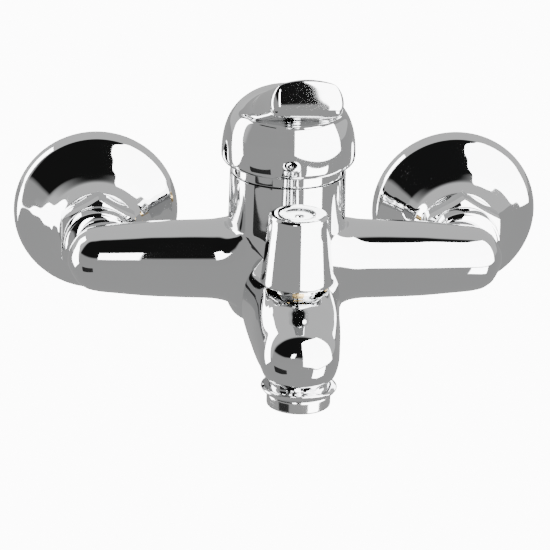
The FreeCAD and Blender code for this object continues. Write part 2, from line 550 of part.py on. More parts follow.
def build_handle():
    """Domed handle with its rising lever, spindle socket and screw hole."""
    foot = size("dome_low")
    dome = dome_solid(0, foot)
    tuck = Part.makeCone(size("dome_r") - size("dome_tuck"),
                         size("dome_r") + 1.0, size("dome_tuck_rise") * 2, FreeCAD.Vector(0, 0, foot))
    dome = dome.common(tuck.fuse(Part.makeCylinder(size("dome_r") + 1, size("dome_rise") + 10,
                                                   FreeCAD.Vector(0, 0, foot + 2 * size("dome_tuck_rise")))))
    # distance along the lever, half width, top, underside, crown
    sections = [(6.0, 19.0, 0.0, -13.0, 6.0), (28.0, 17.6, 0.0, -13.4, 5.0),
                (54.0, 15.2, 0.0, -11.6, 4.0), (size("lever_tip"), 13.8, 0.0, -9.8, 3.4)]
    lever = Part.makeLoft([lever_section(*row) for row in sections], True, False)
    lever.Placement = FreeCAD.Placement(
        FreeCAD.Vector(0, 0, size("lever_top")),
        FreeCAD.Rotation(FreeCAD.Vector(1, 0, 0), -size("lever_tilt")))
    tips = [edge for edge in lever.Edges if edge.BoundBox.YMax < -size("lever_tip") * 0.9]
    lever = lever.makeFillet(2.0, tips)
    hollow = dome_solid(size("dome_wall"), foot - 1)
    boss = Part.makeCylinder(size("boss_r"), size("dome_rise") - 4 + foot - size("boss_low"),
                             FreeCAD.Vector(0, 0, size("boss_low")))
    side = size("bar_side") + 2 * size("socket_fit")
    socket = Part.makeBox(side, side, size("socket_top") - foot + 1,
                          FreeCAD.Vector(-side / 2, -side / 2, foot - 1))
    screw_axis = FreeCAD.Rotation(FreeCAD.Vector(0, 0, 1), size("screw_swing"))
    outward = screw_axis.multVec(FreeCAD.Vector(0, -1, 0))
    start = FreeCAD.Vector(0, 0, size("screw_z"))
    screw_hole = Part.makeCylinder(size("screw_r") + 0.02, 20, start, outward)
    access = Part.makeCylinder(size("access_r"), 40, start, outward)
    shape = dome.fuse(lever).cut(hollow).fuse(boss.common(dome)).cut(socket)
    shape = shape.cut(screw_hole).cut(access).removeSplitter()
    handle = DOC.addObject("Part::Feature", "handle")
    handle.Label = "handle"
    handle.Shape = shape.Solids[0]
    handle.Placement = FreeCAD.Placement(
        FreeCAD.Vector(0, -size("reach"), size("axis_up")), FreeCAD.Rotation())
    PIECES.append(handle)

    swing = FreeCAD.Rotation(FreeCAD.Vector(0, 0, 1), size("screw_swing"))
    for label, radius, start, length in (
            ("handle_set_screw", "screw_r", "screw_start", "screw_end - screw_start"),
            ("indicator_plug", "plug_r", "dome_r - plug_sink - plug_len", "plug_len")):
        item = new_body(label)
        rod = add_cylinder(item, label + "_rod", "XZ_Plane", ("0", "screw_z", start), radius, length)
        seat(item, out="reach", turn=swing)


def build_diverter():
    """Pull-up diverter: knob, stem, piston with its pads, bush, seat and spring."""
    over = {"out": "knob_out"}
    knob = new_body("diverter_knob")
    turned = revolve(knob, "knob_turn", polygon(knob, "knob_profile", [
        ("0", "stem_top + 0.1"), ("stem_r + 0.02", "stem_top + 0.1"),
        ("stem_r + 0.02", "knob_cavity_top"), ("knob_cavity_r", "knob_cavity_top"),
        ("knob_cavity_r", "knob_low"), ("knob_base_r", "knob_low"), ("knob_top_r", "knob_top"),
        ("dish_r", "knob_top"), ("dish_r - 1.2", "knob_top - dish_deep"),
        ("0", "knob_top - dish_deep")]))
    soften(knob, "knob_edge", turned, "knob_round", is_ring("knob_top_r", "knob_top"))
    seat(knob, **over)

    turned_part("diverter_stem", [
        ("0", "stem_low"), ("stem_r", "stem_low"), ("stem_r", "stem_top"), ("0", "stem_top")],
        **over)
    turned_part("diverter_bush", [
        ("stem_r + stem_fit", "bush_low"), ("bush_r", "bush_low"), ("bush_r", "bush_top"),
        ("stem_r + stem_fit", "bush_top"), ("stem_r + stem_fit", "oring_top"),
        ("oring_r", "oring_top"), ("oring_r", "oring_low"), ("stem_r + stem_fit", "oring_low")],
        **over)
    turned_part("stem_o_ring", [
        ("stem_r + stem_fit", "oring_low + 0.05"), ("oring_r - 0.05", "oring_low + 0.05"),
        ("oring_r - 0.05", "oring_top - 0.05"), ("stem_r + stem_fit", "oring_top - 0.05")],
        **over)
    turned_part("diverter_piston", [
        ("stem_r", "piston_low"), ("piston_r", "piston_low"), ("piston_r", "piston_top"),
        ("stem_r", "piston_top")], **over)
    for label, low, high in (("shower_valve_pad", "pad_ring_low", "piston_low"),
                             ("spout_valve_pad", "piston_top", "pad_ring_top")):
        turned_part(label, [
            ("stem_r", low), ("piston_r - 0.3", low), ("piston_r - 0.3", high),
            ("stem_r", high)], **over)
    turned_part("diverter_seat", [
        ("seat_hole_r", "seat_low"), ("chamber_r - 0.05", "seat_low"),
        ("chamber_r - 0.05", "seat_top"), ("seat_hole_r", "seat_top")], **over)

    path = DOC.addObject("Part::Helix", "spring_path")
    bind(path, "Radius", "spring_r")
    bind(path, "Height", "spring_high - spring_low")
    bind(path, "Pitch", "(spring_high - spring_low) / spring_turns")
    wire = DOC.addObject("Part::Circle", "spring_section")
    bind(wire, "Radius", "spring_wire")
    bind(wire, "Placement.Base.x", "spring_r")
    wire.Placement.Rotation = FreeCAD.Rotation(FreeCAD.Vector(1, 0, 0), 90)
    spring = DOC.addObject("Part::Sweep", "diverter_spring")
    spring.Label = "diverter_spring"
    spring.Sections = [wire]
    spring.Spine = (path, [])
    spring.Solid = True
    spring.Frenet = True
    bind(spring, "Placement.Base.y", "-knob_out")
    bind(spring, "Placement.Base.z", "axis_up + spring_low")
    PIECES.append(spring)


def build_outlets():
    """Aerator under the nose and threaded shower outlet under the body."""
    nose = {"out": "nose_out"}
    turned_part("aerator_ring", [
        ("aer_lip_r", "aer_low"), ("aer_r - 0.5", "aer_low"), ("aer_r", "aer_low + 0.5"),
        ("aer_r", "aer_shoulder"), ("aer_thread_r", "aer_shoulder"),
        ("aer_thread_r", "aer_top"), ("aer_hole_r", "aer_top"), ("aer_hole_r", "aer_lip"),
        ("aer_lip_r", "aer_lip")], **nose)
    insert = new_body("aerator_insert")
    add_cylinder(insert, "insert_block", "XY_Plane", ("0", "0", "insert_low"), "insert_r",
                 "insert_top - insert_low")
    jet = bore(insert, "jet", "XY_Plane", ("jet_circle", "0", "insert_low - 1"), "jet_r",
               "insert_top - insert_low + 2")
    jets = insert.newObject("PartDesign::PolarPattern", "jets")
    jets.Originals = [jet]
    jets.Axis = (next(f for f in insert.Origin.OriginFeatures if f.Role == "Z_Axis"), [""])
    jets.Angle = 360
    jets.Occurrences = 12
    insert.Tip = jets
    seat(insert, **nose)
    turned_part("aerator_washer", [
        ("insert_r - 2.4", "aer_top + 0.05"), ("aer_thread_r", "aer_top + 0.05"),
        ("aer_thread_r", "aer_seal_top"), ("insert_r - 2.4", "aer_seal_top")], **nose)

    over = {"out": "reach"}
    nipple = new_body("shower_outlet_nipple")
    revolve(nipple, "nipple_turn", polygon(nipple, "nipple_profile", [
        ("nip_bore_r", "nip_top"), ("nip_screw_r", "nip_top"), ("nip_screw_r", "nip_hex_low"),
        ("nip_thread_r", "nip_hex_low"), ("nip_thread_r", "nip_low + 1"),
        ("nip_thread_r - 1", "nip_low"), ("check_bore_r", "nip_low"),
        ("check_bore_r", "check_top"), ("nip_bore_r", "check_top")]))
    pad(nipple, "nipple_hex", hexagon(nipple, "nipple_outline", "nip_flats",
                                      ("0", "0", "nip_hex_low")), "nip_hex_top - nip_hex_low")
    bore(nipple, "nipple_way", "XY_Plane", ("0", "0", "nip_low"), "nip_bore_r",
         "nip_top - nip_low")
    seat(nipple, **over)
    turned_part("outlet_check_valve", [
        ("check_bore_r - check_wall - 1", "check_low"), ("check_bore_r - 0.05", "check_low"),
        ("check_bore_r - 0.05", "check_top - 0.1"),
        ("check_bore_r - check_wall - 1", "check_top - 0.1")], **over)


def write_parts():
    """Check every object, then write each piece to its own file."""
    DOC.recompute()
    for item in DOC.Objects:
        if {"Invalid", "Error"} & set(item.State):
            raise RuntimeError(f"{item.Label} did not recompute: {item.State}")
    os.makedirs("parts", exist_ok=True)
    for item in PIECES:
        shape = item.Shape
        if shape.isNull() or not shape.isValid() or shape.Volume <= 0:
            raise RuntimeError(f"{item.Label} has no valid solid")
        shape.exportStep(f"parts/{item.Label}.step")
        print(f"{item.Label}: {len(shape.Solids)} solid, {shape.Volume:.1f} mm3")


build_supply("left", "-1")
build_supply("right", "1")
build_body()
build_cartridge()
build_handle()
build_diverter()
build_outlets()
write_parts()
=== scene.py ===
"""Looks of a wall mounted bath mixer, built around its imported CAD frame.

The cast body and the handle are subdivision cages grown from one ring of points;
the other plated pieces are turned on a lathe of extruded rings.  Everything is in
metres in the frame of the CAD: the wall is y = 0 and the mixer stands out along -Y.
"""

import json
import logging
import math
from collections.abc import Callable, Iterable
from dataclasses import dataclass, field
from enum import Enum

import bmesh
import bpy
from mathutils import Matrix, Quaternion, Vector


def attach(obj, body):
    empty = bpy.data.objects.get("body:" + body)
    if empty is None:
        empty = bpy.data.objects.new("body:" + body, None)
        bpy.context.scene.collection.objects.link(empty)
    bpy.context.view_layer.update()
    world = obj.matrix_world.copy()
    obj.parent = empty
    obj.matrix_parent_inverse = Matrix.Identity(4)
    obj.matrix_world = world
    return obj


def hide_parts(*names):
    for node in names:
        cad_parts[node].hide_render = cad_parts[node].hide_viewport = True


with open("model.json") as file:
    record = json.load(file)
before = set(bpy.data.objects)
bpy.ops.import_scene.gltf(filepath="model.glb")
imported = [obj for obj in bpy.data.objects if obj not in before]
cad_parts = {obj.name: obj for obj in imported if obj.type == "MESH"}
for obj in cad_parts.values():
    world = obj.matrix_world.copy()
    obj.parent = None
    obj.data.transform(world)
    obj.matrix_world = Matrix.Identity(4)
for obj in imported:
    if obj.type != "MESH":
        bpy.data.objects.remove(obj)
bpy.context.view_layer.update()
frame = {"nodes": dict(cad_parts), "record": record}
LOG = logging.getLogger("mixer")
MM = 0.001


# --------------------------------------------------------------------------- nodes
class Sock:
    """A node socket that adds Math nodes when it is used in a sum or product."""

    def __init__(self, mat: "Nodes", socket: bpy.types.NodeSocket) -> None:
        """Keep the node tree and the output socket."""
        self.mat = mat
        self.socket = socket

    def _math(self, kind: str, first: object, second: object) -> "Sock":
        """Add one Math node for two operands and return its result."""
        return self.mat.add("ShaderNodeMath", {"operation": kind}, {0: first, 1: second})

    def __add__(self, other: object) -> "Sock":
        """Sum of two values."""
        return self._math("ADD", self, other)

    def __radd__(self, other: object) -> "Sock":
        """Sum with a number on the left."""
        return self._math("ADD", other, self)

    def __sub__(self, other: object) -> "Sock":
        """Difference of two values."""
        return self._math("SUBTRACT", self, other)

    def __rsub__(self, other: object) -> "Sock":
        """Difference from a number on the left."""
        return self._math("SUBTRACT", other, self)

    def __mul__(self, other: object) -> "Sock":
        """Product of two values."""
        return self._math("MULTIPLY", self, other)

    def __rmul__(self, other: object) -> "Sock":
        """Product with a number on the left."""
        return self._math("MULTIPLY", other, self)


class Nodes:
    """One node tree, with a single way of adding nodes to it."""

    def __init__(self, tree: bpy.types.NodeTree) -> None:
        """Empty the tree and keep it."""
        tree.nodes.clear()
        self.tree = tree

    def add(self, kind: str, settings: dict | None = None, inputs: dict | None = None,
            output: str | int = 0) -> Sock:
        """Add a node, set it up and link its inputs.

        Args:
            kind: Blender's name for the node type.
            settings: attributes of the node, set before its inputs.
            inputs: values or sockets by input name or number.
            output: which output to return.

        Returns:
            The chosen output, wrapped.
        """
        node = self.tree.nodes.new(kind)
        for name, value in (settings or {}).items():
            setattr(node, name, value)
        for name, value in (inputs or {}).items():
            if isinstance(value, Sock):
                self.tree.links.new(value.socket, node.inputs[name])
            else:
                node.inputs[name].default_value = value
        return Sock(self, node.outputs[output])

    def end(self, kind: str, name: str, value: Sock) -> None:
        """Add an output node and link one of its inputs."""
        node = self.tree.nodes.new(kind)
        self.tree.links.new(value.socket, node.inputs[name])


def grey(level: float) -> tuple[float, float, float, float]:
    """Opaque neutral colour of one level."""
    return (level, level, level, 1.0)


# ------------------------------------------------------------------------- finishes
@dataclass(frozen=True)
class Finish:
    """A surface finish: base shader values and the fine pattern on top of them."""

    name: str
    colour: tuple[float, float, float]
    metallic: float
    roughness: float
    rough_swing: float = 0.02
    grain: float = 900.0
    bump: float = 0.0
    tone_swing: float = 0.04
    coat: float = 0.0
    stretch: tuple[float, float, float] = (1.0, 1.0, 1.0)

    def make(self) -> bpy.types.Material:
        """Build the material once and return it.

        Returns:
            The Blender material of this finish.
        """
        known = bpy.data.materials.get(self.name)
        if known:
            return known
        mat = bpy.data.materials.new(self.name)
        mat.use_nodes = True
        nodes = Nodes(mat.node_tree)
        place = nodes.add("ShaderNodeTexCoord", output="Object")
        laid = nodes.add("ShaderNodeMapping", inputs={"Vector": place, "Scale": self.stretch})
        fine = nodes.add("ShaderNodeTexNoise", inputs={
            "Vector": laid, "Scale": self.grain, "Detail": 3.0})
        broad = nodes.add("ShaderNodeTexNoise", inputs={
            "Vector": laid, "Scale": self.grain * 0.04, "Detail": 2.0})
        rough = self.roughness + (fine - 0.5) * self.rough_swing + (broad - 0.5) * self.rough_swing
        dark = tuple(c * (1.0 - self.tone_swing) for c in self.colour) + (1.0,)
        tint = nodes.add("ShaderNodeMix", {"data_type": "RGBA"}, {
            0: broad, 6: dark, 7: self.colour + (1.0,)}, 2)
        shader_in = {"Base Color": tint, "Roughness": rough, "Metallic": self.metallic,
                     "Coat Weight": self.coat}
        if self.bump:
            shader_in["Normal"] = nodes.add("ShaderNodeBump", inputs={
                "Height": fine, "Strength": self.bump, "Distance": 0.0002})
        shader = nodes.add("ShaderNodeBsdfPrincipled", inputs=shader_in)
        nodes.end("ShaderNodeOutputMaterial", "Surface", shader)
        return mat


class Coat(Enum):
    """The finishes found on this mixer."""

    CHROME = Finish("polished_chrome", (0.70, 0.705, 0.71), 1.0, 0.035, 0.012, 600.0)
    SATIN = Finish("satin_chrome", (0.60, 0.60, 0.61), 1.0, 0.27, 0.10, 2600.0, 0.10,
                   stretch=(1.0, 1.0, 0.06))
    BRASS = Finish("turned_brass", (0.72, 0.52, 0.24), 1.0, 0.30, 0.14, 2200.0, 0.12, 0.18)
    RUBBER = Finish("black_rubber", (0.022, 0.022, 0.024), 0.0, 0.62, 0.12, 1500.0, 0.20)
    PLASTIC = Finish("white_plastic", (0.80, 0.80, 0.77), 0.0, 0.38, 0.08, 1800.0, 0.06)
    BLACK = Finish("black_plastic", (0.012, 0.012, 0.013), 0.0, 0.22, 0.06, 1800.0, 0.04)
    CERAMIC = Finish("lapped_ceramic", (0.86, 0.85, 0.81), 0.0, 0.16, 0.05, 1200.0, 0.03,
                     coat=0.4)
    STEEL = Finish("stainless_steel", (0.56, 0.56, 0.55), 1.0, 0.24, 0.10, 2400.0, 0.08)


# -------------------------------------------------------------------------- edit mode
Measure = Callable[[Vector, float, float], float]


class Bench:
    """Edit-mode work on one mesh object, the way it is done by hand.

    Each point remembers where it lies in its section: "across" and "up" run from -1 to 1.
    """

    def __init__(self, name: str, ring: tuple[float, float], centre: Vector, sides: int) -> None:
        """Start from one open ring of points.

        Args:
            name: the piece's name.
            ring: radius and height above the centre.
            centre: where the ring's axis stands.
            sides: how many points the ring has.
        """
        bpy.ops.object.select_all(action="DESELECT")
        bpy.ops.mesh.primitive_circle_add(
            vertices=sides, radius=ring[0], location=centre + Vector((0, 0, ring[1])))
        self.obj = bpy.context.object
        self.obj.name = name
        self.obj.data.name = name
        bpy.ops.object.transform_apply(location=True, rotation=True, scale=True)
        for label in ("across", "up"):
            self.obj.data.attributes.new(label, "FLOAT", "POINT")
        bpy.ops.object.mode_set(mode="EDIT")
        bpy.ops.mesh.select_mode(type="EDGE")
        bpy.ops.mesh.select_all(action="SELECT")

    def mesh(self) -> bmesh.types.BMesh:
        """The mesh being edited."""
        return bmesh.from_edit_mesh(self.obj.data)

    def middle(self) -> Vector:
        """The mean of the selected points."""
        mesh = self.mesh()
        places = [v.co.copy() for v in mesh.verts if v.select]
        return sum(places, Vector()) / len(places)

    def crease(self, amount: float = 1.0) -> None:
        """Sharpen the border of the selection for the subdivision.

        Args:
            amount: how sharp, from 0 to 1.
        """
        mesh = self.mesh()
        sharpness = mesh.edges.layers.float.get("crease_edge")
        if sharpness is None:
            sharpness = mesh.edges.layers.float.new("crease_edge")
        for edge in mesh.edges:
            if edge.select and sum(face.select for face in edge.link_faces) < 2:
                edge[sharpness] = amount
        bmesh.update_edit_mesh(self.obj.data)

    def grow(self, shift: Vector, scale: Vector = Vector((1, 1, 1))) -> None:
        """Extrude the selected loop, move it, then scale it about its own middle.

        Args:
            shift: how far the new loop moves.
            scale: how much it then widens each way.
        """
        bpy.ops.mesh.extrude_region()
        bpy.ops.transform.translate(value=shift)
        bpy.ops.transform.resize(value=scale, center_override=self.middle())

    def turn(self, rows: list[tuple[float, float, float]]) -> None:
        """Grow the selected ring through rows of radius, height and edge sharpness.

        Args:
            rows: in millimetres; the first row is the ring that is there already.
        """
        for (radius, height, _), (wider, higher, sharp) in zip(rows, rows[1:]):
            ratio = wider / radius
            self.grow(Vector((0, 0, (higher - height) * MM)), Vector((ratio, ratio, 1)))
            if sharp:
                self.crease(sharp)

    def pick(self, inside: Callable[[Vector], bool], across: Measure, up: Measure) -> None:
        """Select the faces of a patch and note where each of its points lies in it.

        Args:
            inside: true for the centre of a face of the patch.
            across: what orders the points from one side to the other.
            up: what orders them from bottom to top.
        """
        bpy.ops.mesh.select_mode(type="FACE")
        bpy.ops.mesh.select_all(action="DESELECT")
        mesh = self.mesh()
        for face in mesh.faces:
            face.select = inside(face.calc_center_median())
        found = [self._ranks(mesh, measure) for measure in (across, up)]
        marks = [mesh.verts.layers.float.get(label) for label in ("across", "up")]
        for vert in (v for v in mesh.verts if v.select):
            for mark, ranks in zip(marks, found):
                vert[mark] = ranks[vert.index]
        bmesh.update_edit_mesh(self.obj.data)
        LOG.debug("%s: %d faces picked", self.obj.name, sum(f.select for f in mesh.faces))

    @staticmethod
    def _ranks(mesh: bmesh.types.BMesh, measure: Measure) -> dict[int, float]:
        """Where each selected point ranks by a measure, from -1 to 1.

        Args:
            mesh: the mesh being edited.
            measure: what orders the points.

        Returns:
            The rank of each point by its number in the mesh.
        """
        across, up = (mesh.verts.layers.float.get(label) for label in ("across", "up"))
        found = {v.index: measure(v.co, v[across], v[up]) for v in mesh.verts if v.select}
        levels: list[float] = []
        for value in sorted(found.values()):
            if not levels or value - levels[-1] > SAME:
                levels.append(value)
        last = max(1, len(levels) - 1)
        return {number: -1 + 2 * min(range(len(levels)), key=lambda i: abs(levels[i] - value)) / last
                for number, value in found.items()}

    def tube(self, stations: Iterable["Station"]) -> None:
        """Grow the selected faces through a row of stations.

        Args:
            stations: the sections to pass through, in order.
        """
        for station in stations:
            bpy.ops.mesh.extrude_region()
            station.shape(self)
            if station.sharp:
                self.crease(station.sharp)

    def close(self) -> None:
        """Close the selected ring with one face."""
        bpy.ops.mesh.edge_face_add()

    def done(self, levels: int, angle: float = 40.0) -> bpy.types.Object:
        """Leave edit mode, subdivide and smooth.

        Args:
            levels: subdivision levels applied.
            angle: edges sharper than this in degrees stay sharp.

        Returns:
            The finished object.
        """
        bpy.ops.mesh.select_all(action="SELECT")
        bpy.ops.mesh.normals_make_consistent(inside=False)
        bpy.ops.object.mode_set(mode="OBJECT")
        for label in ("across", "up"):
            self.obj.data.attributes.remove(self.obj.data.attributes[label])
        if levels:
            modifier = self.obj.modifiers.new("smooth", "SUBSURF")
            modifier.levels = modifier.render_levels = levels
            bpy.ops.object.modifier_apply(modifier="smooth")
        bpy.ops.object.shade_smooth_by_angle(angle=math.radians(angle))
        return self.obj


@dataclass(frozen=True)
class Station:
    """One section of a grown tube: a rounded rectangle, up to a full ellipse.

    corner holds the radius of its upper and of its lower corners.  arch raises the
    middle of its upper side, and bulge pushes the middle of its closing face outward.
    """

    centre: Vector
    half: tuple[float, float]
    along: Vector
    side: Vector
    corner: tuple[float, float] | None = None
    sharp: float = 0.0
    arch: float = 0.0
    bulge: float = 0.0

    def rim(self, across: float, up: float) -> Vector:
        """The place on the section's rim in one direction.

        Args:
            across: sideways share, -1 to 1.
            up: upward share, -1 to 1.

        Returns:
            The place as a flat vector in metres.
        """
        wide, tall = self.half
        if self.corner is None:
            flat = Vector((across, up)).normalized()
            return Vector((flat.x * wide, flat.y * tall))
        radius = self.corner[0] if up > 0 else self.corner[1]
        place = Vector((across * wide, up * tall))
        core = Vector((max(-(wide - radius), min(wide - radius, place.x)),
                       max(-(tall - radius), min(tall - radius, place.y))))
        return core + (place - core).normalized() * radius

    def shape(self, bench: Bench) -> None:
        """Lay the selected points on this section.

        Args:
            bench: the mesh being edited.
        """
        rise = self.along.cross(self.side)
        gain = CAGE_GAIN
        mesh = bench.mesh()
        marks = [mesh.verts.layers.float.get(label) for label in ("across", "up")]
        for vert in (v for v in mesh.verts if v.select):
            across, up = (vert[mark] for mark in marks)
            share = max(abs(across), abs(up))
            flat = self.rim(across / share, up / share) * share * gain if share else Vector((0, 0))
            crown = self.arch * (1 - across ** 2) * max(0.0, up)
            vert.co = (self.centre + self.side * flat.x + rise * (flat.y + crown)
                       + self.along * self.bulge * (1 - share ** 2))
        bmesh.update_edit_mesh(bench.obj.data)


def ring_gain(count: int) -> float:
    """How much larger a cage ring is than the smooth ring it gives."""
    return 3.0 / (2.0 + math.cos(2.0 * math.pi / count))


CAGE_GAIN = ring_gain(16)
SAME = 1e-4


def dress(obj: bpy.types.Object, coat: Coat, body: str, slot: str, *nodes: str) -> None:
    """Give a finished piece its material, body and the nodes it stands for.

    Args:
        obj: the piece.
        coat: its finish.
        body: the CAD body it moves with.
        slot: the record's material slot; not used.
        nodes: CAD nodes that it replaces.
    """
    obj.data.materials.clear()
    obj.data.materials.append(coat.value.make())
    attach(obj, body)
    if nodes:
        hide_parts(*nodes)
    LOG.info("piece %s: %d faces", obj.name, len(obj.data.polygons))


@dataclass
class Turned:
    """A piece turned on the lathe: rows of radius, height and edge sharpness."""

    name: str
    node: str
    rows: list[tuple[float, float, float]]
    centre: Vector
    outward: bool = False
    coat: Coat = Coat.CHROME
    body: str = "fixed"
    slot: str = "chrome_plated_brass"
    sides: int = 32
    levels: int = 3

    def build(self) -> bpy.types.Object:
        """Extrude the rows into a closed turned solid and round it by subdivision.

        Returns:
            The finished piece.
        """
        first = self.rows[0]
        bench = Bench(self.name, (first[0] * MM, first[1] * MM), Vector(), self.sides)
        if first[2]:
            bench.crease(first[2])
        bench.turn([*self.rows, (first[0], first[1], 0.0)])
        bpy.ops.mesh.select_all(action="SELECT")
        bpy.ops.mesh.remove_doubles(threshold=1e-6)
        gain = ring_gain(self.sides)
        bpy.ops.transform.resize(value=(gain, gain, 1), center_override=(0, 0, 0))
        if self.outward:
            bpy.ops.transform.rotate(value=math.radians(-90), orient_axis="X",
                                     center_override=(0, 0, 0))
        bpy.ops.transform.translate(value=self.centre)
        obj = bench.done(self.levels, 50.0)
        dress(obj, self.coat, self.body, self.slot, self.node)
        return obj


# --------------------------------------------------------------------------- geometry
AXIS_UP = 5.0        # arms' axis above the frame's origin
REACH = 60.0         # barrel's axis out from the wall
INLET_HALF = 75.0    # each inlet from the middle
KNOB_OUT = 117.0     # diverter's axis out from the wall
NOSE_OUT = 138.0     # nose's axis out from the wall
WHITE = 12.0         # what the camera sees of the room and the floor
LOW_GREY = 0.46      # what the chrome sees low in front
BACK_GREY = 0.80     # what it sees towards the wall
DARK = 0.012         # what it sees high in front
X = Vector((1, 0, 0))
Y = Vector((0, 1, 0))
Z = Vector((0, 0, 1))


def spot(across: float, out: float, up: float) -> Vector:
    """A point from millimetres: across, out from the wall, up from the arms' axis."""
    return Vector((across, -out, up + AXIS_UP)) * MM


@dataclass
class CastBody:
    """The one-piece casting: barrel, arms with elbows, spout, nose and their sockets."""

    sides: int = 16
    levels: int = 3
    barrel: list[tuple[float, float, float]] = field(default_factory=lambda: [
        (8.05, -14.6, 1), (8.05, -26.9, 1), (13.0, -26.9, 1), (13.0, -25.2, 0.3),
        (14.4, -24.2, 0), (18.0, -23.4, 0), (21.5, -21.6, 0), (23.3, -18.4, 0),
        (23.6, -16.0, 0), (23.6, -8.0, 0), (23.6, 0.0, 0), (23.6, 8.0, 0), (23.7, 15.0, 0),
        (23.6, 20.0, 0), (23.5, 28.0, 0), (23.4, 36.4, 0), (23.4, 37.4, 1), (21.5, 37.4, 1),
        (21.5, 40.9, 1), (19.5, 40.9, 1), (19.5, 25.5, 1), (17.6, 25.5, 1), (17.6, 8.0, 1)])

    def build(self) -> None:
        """Grow the whole casting and dress it."""
        first = self.barrel[0]
        bench = Bench("cast_body", (first[0] * MM * ring_gain(self.sides), first[1] * MM),
                      spot(0, REACH, 0), self.sides)
        bench.crease()
        bench.close()
        bench.turn(self.barrel)
        bench.close()
        for sign in (-1, 1):
            self.arm(bench, sign)
        self.spout(bench)
        dress(bench.done(self.levels), Coat.CHROME, "fixed", "chrome_plated_brass", "mixer_body")

    def barrel_patch(self, bench: Bench, facing: Vector) -> None:
        """Select the band of barrel faces that looks one way.

        Args:
            bench: the mesh being edited.
            facing: the way it looks.
        """
        axis = spot(0, REACH, 0)
        side = facing.cross(Z)

        def inside(point: Vector) -> bool:
            """True for a face of the barrel's skin that looks the right way."""
            offset = point - axis
            return (offset.dot(facing) > abs(offset.dot(side)) and abs(offset.z) < 15.6 * MM
                    and math.hypot(offset.x, offset.y) > 20 * MM)

        def bearing(place: Vector, _across: float, _up: float) -> float:
            """Angle round the barrel from the facing."""
            offset = place - axis
            return -math.atan2(offset.dot(side), offset.dot(facing))

        bench.pick(inside, bearing, lambda place, _across, _up: place.z)

    def arm(self, bench: Bench, sign: int) -> None:
        """One arm, its rounded elbow and the collar that faces the wall.

        Args:
            bench: the mesh being edited.
            sign: -1 for the left arm, 1 for the right.
        """
        axis = spot(0, REACH, 0)
        along = X * sign
        self.barrel_patch(bench, along)
        rows = [(25.5, 16.9, 0.0), (30.0, 16.1, 0.0), (42.0, 15.8, 0.0), (55.0, 15.3, 0.0),
                (64.0, 14.5, 0.0), (69.5, 14.0, 0.0), (75.0, 13.5, 0.0), (80.0, 12.5, 0.0),
                (84.0, 9.9, 0.0), (86.4, 6.0, 2.0)]
        bench.tube([Station(spot(sign * across, REACH, 0), (radius * MM, radius * MM), along,
                            Z.cross(along), bulge=bulge * MM) for across, radius, bulge in rows])

        def on_elbow(point: Vector) -> bool:
            """True for a face on the elbow's wall side."""
            offset = point - axis
            return (64.2 * MM < sign * offset.x < 84.0 * MM and offset.y > abs(offset.z)
                    and offset.y > 4 * MM)

        bench.pick(on_elbow, lambda place, _across, _up: sign * place.x,
                   lambda _place, _across, up: up)
        rows = [(46.9, 13.3, 0.0), (46.1, 13.6, 0.2), (45.4, 14.5, 0.9), (39.3, 14.5, 0.7),
                (38.9, 14.1, 0.9), (38.9, 9.7, 1.0), (46.1, 9.7, 1.0)]
        bench.tube([Station(spot(sign * 75, out, 0), (radius * MM, radius * MM), Y * sign,
                            X * sign, sharp=sharp) for out, radius, sharp in rows])

    def spout(self, bench: Bench) -> None:
        """Spout with a flattened top, ball nose, aerator socket and diverter chamber."""
        self.barrel_patch(bench, -Y)
        # out, middle height, half width, half height, upper and lower corner radius, bulge
        rows = [(86.0, -4.5, 20.3, 18.5, 14.0, 17.0, 0), (94.0, -6.6, 19.0, 18.0, 12.0, 16.0, 0),
                (103.0, -7.4, 18.2, 17.7, 11.0, 15.5, 0), (110.0, -7.4, 17.7, 17.7, 11.0, 15.0, 0),
                (117.0, -7.4, 17.3, 17.7, 11.0, 15.0, 0), (124.0, -7.6, 16.9, 17.5, 11.5, 15.0, 0),
                (129.0, -8.8, 16.5, 16.8, 12.5, 15.0, 0), (133.5, -10.4, 16.2, 15.9, 14.5, 15.0, 0),
                (138.0, -11.6, 15.9, 15.4, 15.4, 15.4, 0), (143.0, -12.2, 15.1, 14.4, 14.4, 14.4, 0),
                (148.0, -12.6, 12.3, 11.8, 11.8, 11.8, 0), (151.6, -12.8, 7.6, 7.4, 7.4, 7.4, 1.6)]
        bench.tube([Station(spot(0, out, up), (half * MM, tall * MM), -Y, -X,
                            (high * MM, low * MM), bulge=bulge * MM)
                    for out, up, half, tall, high, low, bulge in rows])

        def under_nose(point: Vector) -> bool:
            """True for a face under the nose."""
            across, out, up = point.x / MM, -point.y / MM, point.z / MM - AXIS_UP
            return 129.2 < out < 147.0 and up < -12 - abs(across) and up < -16

        bench.pick(under_nose, lambda _place, across, _up: -across,
                   lambda place, _across, _up: place.y)
        rows = [(-22.6, 15.7, 0.0), (-24.6, 14.9, 0.0), (-25.9, 13.5, 0.3), (-26.1, 12.9, 1.0),
                (-26.1, 11.9, 1.0), (-18.5, 11.9, 1.0)]
        bench.tube([Station(spot(0, 138.0, up), (radius * MM, radius * MM), -Z, -X, sharp=sharp)
                    for up, radius, sharp in rows])

        def over_spout(point: Vector) -> bool:
            """True for a face under the diverter knob."""
            across, out, up = point.x / MM, -point.y / MM, point.z / MM - AXIS_UP
            return 103.5 < out < 128.6 and up > -7.6 + abs(across) and up > 2

        bench.pick(over_spout, lambda _place, across, _up: -across,
                   lambda place, _across, _up: -place.y)
        rows = [(10.3, 12.4, 0.3), (10.3, 9.0, 1.0), (10.0, 8.5, 0.5), (-12.5, 8.5, 1.0)]
        bench.tube([Station(spot(0, 117, up), (radius * MM, radius * MM), Z, X, sharp=sharp)
                    for up, radius, sharp in rows])


